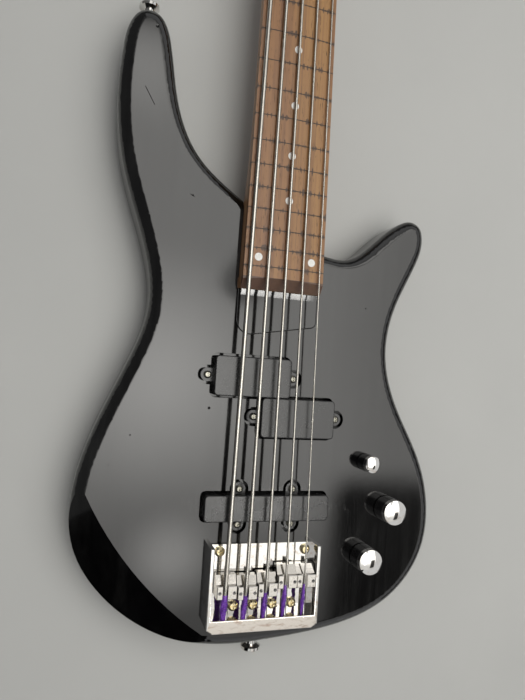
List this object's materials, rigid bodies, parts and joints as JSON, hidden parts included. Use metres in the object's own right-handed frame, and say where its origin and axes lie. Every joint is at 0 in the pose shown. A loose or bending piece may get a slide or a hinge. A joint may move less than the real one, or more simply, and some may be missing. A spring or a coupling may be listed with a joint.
{
  "type": "electric bass guitar",
  "caption": "Solid-body fretless electric bass guitar with a bolt-on neck, split and bar pickups, a metal bridge with adjustable saddles, dome-topped knobs and machine heads.",
  "frame": {"origin": "on the flat back of the body, on the centre line, under the line of the saddles where the open strings are measured from", "axes": "+Y along the neck towards the headstock, +X towards the treble side, +Z out of the front"},
  "size_m": [0.2721, 1.1254, 0.0594],
  "materials": {
    "black_lacquer": "gloss lacquer over solid wood",
    "neck_wood": "satin oiled wood",
    "fingerboard_wood": "oiled open-grained wood",
    "slot_filler": "dark filler",
    "dot_white": "polished",
    "nut_white": "satin",
    "black_gloss": "gloss",
    "black_plastic": "satin",
    "knob_black": "gloss, with a polished metal cap",
    "chrome": "polished",
    "light_casting": "polished plate over a light casting",
    "brass_screw": "worn plate",
    "steel": "plain steel",
    "string_metal": "round wound",
    "coil_copper": "wound wire",
    "magnet": "sintered",
    "foam": "foam",
    "wire_sleeve": "matte"
  },
  "bodies": {
    "instrument": {"body": "black_lacquer", "neck": "neck_wood", "fingerboard": "fingerboard_wood", "fret_lines": "slot_filler", "position_dots": "dot_white", "nut": "nut_white", "heel_cap": "black_gloss", "neck_screws": "steel", "neck_ferrules": "chrome", "truss_rod": "steel", "truss_rod_cover": "black_gloss", "cover_screws": "chrome", "strap_buttons": "chrome", "strap_button_screws": "chrome", "split_pickup_bass_cover": "black_plastic", "split_pickup_treble_cover": "black_plastic", "bridge_pickup_cover": "black_plastic", "pickup_coils": "coil_copper", "pickup_magnets": "magnet", "pickup_foam": "foam", "pickup_screws": "chrome", "bridge_tray": "chrome", "bridge_screws": "brass_screw", "tuner_housings": "light_casting", "tuner_bushings": "chrome", "tuner_screws": "chrome", "potentiometers": "steel", "control_nuts": "chrome", "output_jack": "chrome", "control_cover": "black_plastic", "wiring": "wire_sleeve", "string_1": "string_metal", "string_2": "string_metal", "string_3": "string_metal", "string_4": "string_metal", "string_5": "string_metal"},
    "knob_1": {"knob_1": "knob_black"},
    "knob_2": {"knob_2": "knob_black"},
    "knob_3": {"knob_3": "knob_black"},
    "saddle_1": {"saddle_1": "chrome"},
    "intonation_screw_1": {"intonation_screw_1": "steel"},
    "tuner_post_1": {"tuner_post_1": "chrome"},
    "tuner_key_1": {"tuner_key_1": "light_casting"},
    "saddle_2": {"saddle_2": "chrome"},
    "intonation_screw_2": {"intonation_screw_2": "steel"},
    "tuner_post_2": {"tuner_post_2": "chrome"},
    "tuner_key_2": {"tuner_key_2": "light_casting"},
    "saddle_3": {"saddle_3": "chrome"},
    "intonation_screw_3": {"intonation_screw_3": "steel"},
    "tuner_post_3": {"tuner_post_3": "chrome"},
    "tuner_key_3": {"tuner_key_3": "light_casting"},
    "saddle_4": {"saddle_4": "chrome"},
    "intonation_screw_4": {"intonation_screw_4": "steel"},
    "tuner_post_4": {"tuner_post_4": "chrome"},
    "tuner_key_4": {"tuner_key_4": "light_casting"},
    "saddle_5": {"saddle_5": "chrome"},
    "intonation_screw_5": {"intonation_screw_5": "steel"},
    "tuner_post_5": {"tuner_post_5": "chrome"},
    "tuner_key_5": {"tuner_key_5": "light_casting"},
    "truss_rod_nut": {"truss_rod_nut": "steel"}
  },
  "joints": [
    {"name": "knob_1_turn", "type": "hinge", "parent": "instrument", "child": "knob_1", "pos_m": [0.07742, 0.07863, 0.04], "axis": [0, 0, 1], "range_deg": [-150, 150]},
    {"name": "knob_2_turn", "type": "hinge", "parent": "instrument", "child": "knob_2", "pos_m": [0.09679, 0.04367, 0.04], "axis": [0, 0, 1], "range_deg": [-150, 150]},
    {"name": "knob_3_turn", "type": "hinge", "parent": "instrument", "child": "knob_3", "pos_m": [0.0788, 0.00792, 0.04], "axis": [0, 0, 1], "range_deg": [-150, 150]},
    {"name": "saddle_1_slide", "type": "slide", "parent": "instrument", "child": "saddle_1", "axis": [0, 1, 0], "range_m": [-0.004, 0.004], "deforming": ["string_1"]},
    {"name": "intonation_screw_1_turn", "type": "hinge", "parent": "instrument", "child": "intonation_screw_1", "pos_m": [-0.0254, -0.03755, 0.0455], "axis": [0, 1, 0], "range_deg": [-2070, 2070]},
    {"name": "tuner_key_1_turn", "type": "hinge", "parent": "instrument", "child": "tuner_key_1", "pos_m": [-0.02462, 0.92835, 0.019], "axis": [-1, 0, 0], "range_deg": [-1800, 1800], "deforming": ["string_1"]},
    {"name": "tuner_post_1_turn", "type": "hinge", "parent": "instrument", "child": "tuner_post_1", "pos_m": [-0.02462, 0.91885, 0.04], "axis": [0, 0, 1], "range_deg": [-100, 100], "deforming": ["string_1"]},
    {"name": "saddle_2_slide", "type": "slide", "parent": "instrument", "child": "saddle_2", "axis": [0, 1, 0], "range_m": [-0.004, 0.004], "deforming": ["string_2"]},
    {"name": "intonation_screw_2_turn", "type": "hinge", "parent": "instrument", "child": "intonation_screw_2", "pos_m": [-0.011, -0.03755, 0.0455], "axis": [0, 1, 0], "range_deg": [-2070, 2070]},
    {"name": "tuner_key_2_turn", "type": "hinge", "parent": "instrument", "child": "tuner_key_2", "pos_m": [-0.01537, 0.97815, 0.019], "axis": [-1, 0, 0], "range_deg": [-1800, 1800], "deforming": ["string_2"]},
    {"name": "tuner_post_2_turn", "type": "hinge", "parent": "instrument", "child": "tuner_post_2", "pos_m": [-0.01537, 0.96864, 0.04], "axis": [0, 0, 1], "range_deg": [-100, 100], "deforming": ["string_2"]},
    {"name": "saddle_3_slide", "type": "slide", "parent": "instrument", "child": "saddle_3", "axis": [0, 1, 0], "range_m": [-0.004, 0.004], "deforming": ["string_3"]},
    {"name": "intonation_screw_3_turn", "type": "hinge", "parent": "instrument", "child": "intonation_screw_3", "pos_m": [0.0034, -0.03755, 0.0455], "axis": [0, 1, 0], "range_deg": [-2070, 2070]},
    {"name": "tuner_key_3_turn", "type": "hinge", "parent": "instrument", "child": "tuner_key_3", "pos_m": [-0.0068, 1.02814, 0.019], "axis": [-1, 0, 0], "range_deg": [-1800, 1800], "deforming": ["string_3"]},
    {"name": "tuner_post_3_turn", "type": "hinge", "parent": "instrument", "child": "tuner_post_3", "pos_m": [-0.0068, 1.01864, 0.04], "axis": [0, 0, 1], "range_deg": [-100, 100], "deforming": ["string_3"]},
    {"name": "saddle_4_slide", "type": "slide", "parent": "instrument", "child": "saddle_4", "axis": [0, 1, 0], "range_m": [-0.004, 0.004], "deforming": ["string_4"]},
    {"name": "intonation_screw_4_turn", "type": "hinge", "parent": "instrument", "child": "intonation_screw_4", "pos_m": [0.0178, -0.03755, 0.0455], "axis": [0, 1, 0], "range_deg": [-2070, 2070]},
    {"name": "tuner_key_4_turn", "type": "hinge", "parent": "instrument", "child": "tuner_key_4", "pos_m": [0.01478, 0.99311, 0.019], "axis": [1, 0, 0], "range_deg": [-1800, 1800], "deforming": ["string_4"]},
    {"name": "tuner_post_4_turn", "type": "hinge", "parent": "instrument", "child": "tuner_post_4", "pos_m": [0.01478, 0.98361, 0.04], "axis": [0, 0, 1], "range_deg": [-100, 100], "deforming": ["string_4"]},
    {"name": "saddle_5_slide", "type": "slide", "parent": "instrument", "child": "saddle_5", "axis": [0, 1, 0], "range_m": [-0.004, 0.004], "deforming": ["string_5"]},
    {"name": "intonation_screw_5_turn", "type": "hinge", "parent": "instrument", "child": "intonation_screw_5", "pos_m": [0.0322, -0.03755, 0.0455], "axis": [0, 1, 0], "range_deg": [-2070, 2070]},
    {"name": "tuner_key_5_turn", "type": "hinge", "parent": "instrument", "child": "tuner_key_5", "pos_m": [0.02336, 0.94311, 0.019], "axis": [1, 0, 0], "range_deg": [-1800, 1800], "deforming": ["string_5"]},
    {"name": "tuner_post_5_turn", "type": "hinge", "parent": "instrument", "child": "tuner_post_5", "pos_m": [0.02336, 0.93361, 0.04], "axis": [0, 0, 1], "range_deg": [-100, 100], "deforming": ["string_5"]},
    {"name": "truss_rod_nut_turn", "type": "hinge", "parent": "instrument", "child": "truss_rod_nut", "pos_m": [0, 0.8958, 0.0365], "axis": [0, 1, 0], "range_deg": [-180, 180]}
  ],
  "couplings": [
    {"joint": "intonation_screw_1_turn", "follows": "saddle_1_slide", "rad_per_m": -8976},
    {"joint": "tuner_post_1_turn", "follows": "tuner_key_1_turn", "ratio": -0.05},
    {"joint": "intonation_screw_2_turn", "follows": "saddle_2_slide", "rad_per_m": -8976},
    {"joint": "tuner_post_2_turn", "follows": "tuner_key_2_turn", "ratio": -0.05},
    {"joint": "intonation_screw_3_turn", "follows": "saddle_3_slide", "rad_per_m": -8976},
    {"joint": "tuner_post_3_turn", "follows": "tuner_key_3_turn", "ratio": -0.05},
    {"joint": "intonation_screw_4_turn", "follows": "saddle_4_slide", "rad_per_m": -8976},
    {"joint": "tuner_post_4_turn", "follows": "tuner_key_4_turn", "ratio": 0.05},
    {"joint": "intonation_screw_5_turn", "follows": "saddle_5_slide", "rad_per_m": -8976},
    {"joint": "tuner_post_5_turn", "follows": "tuner_key_5_turn", "ratio": 0.05}
  ]
}
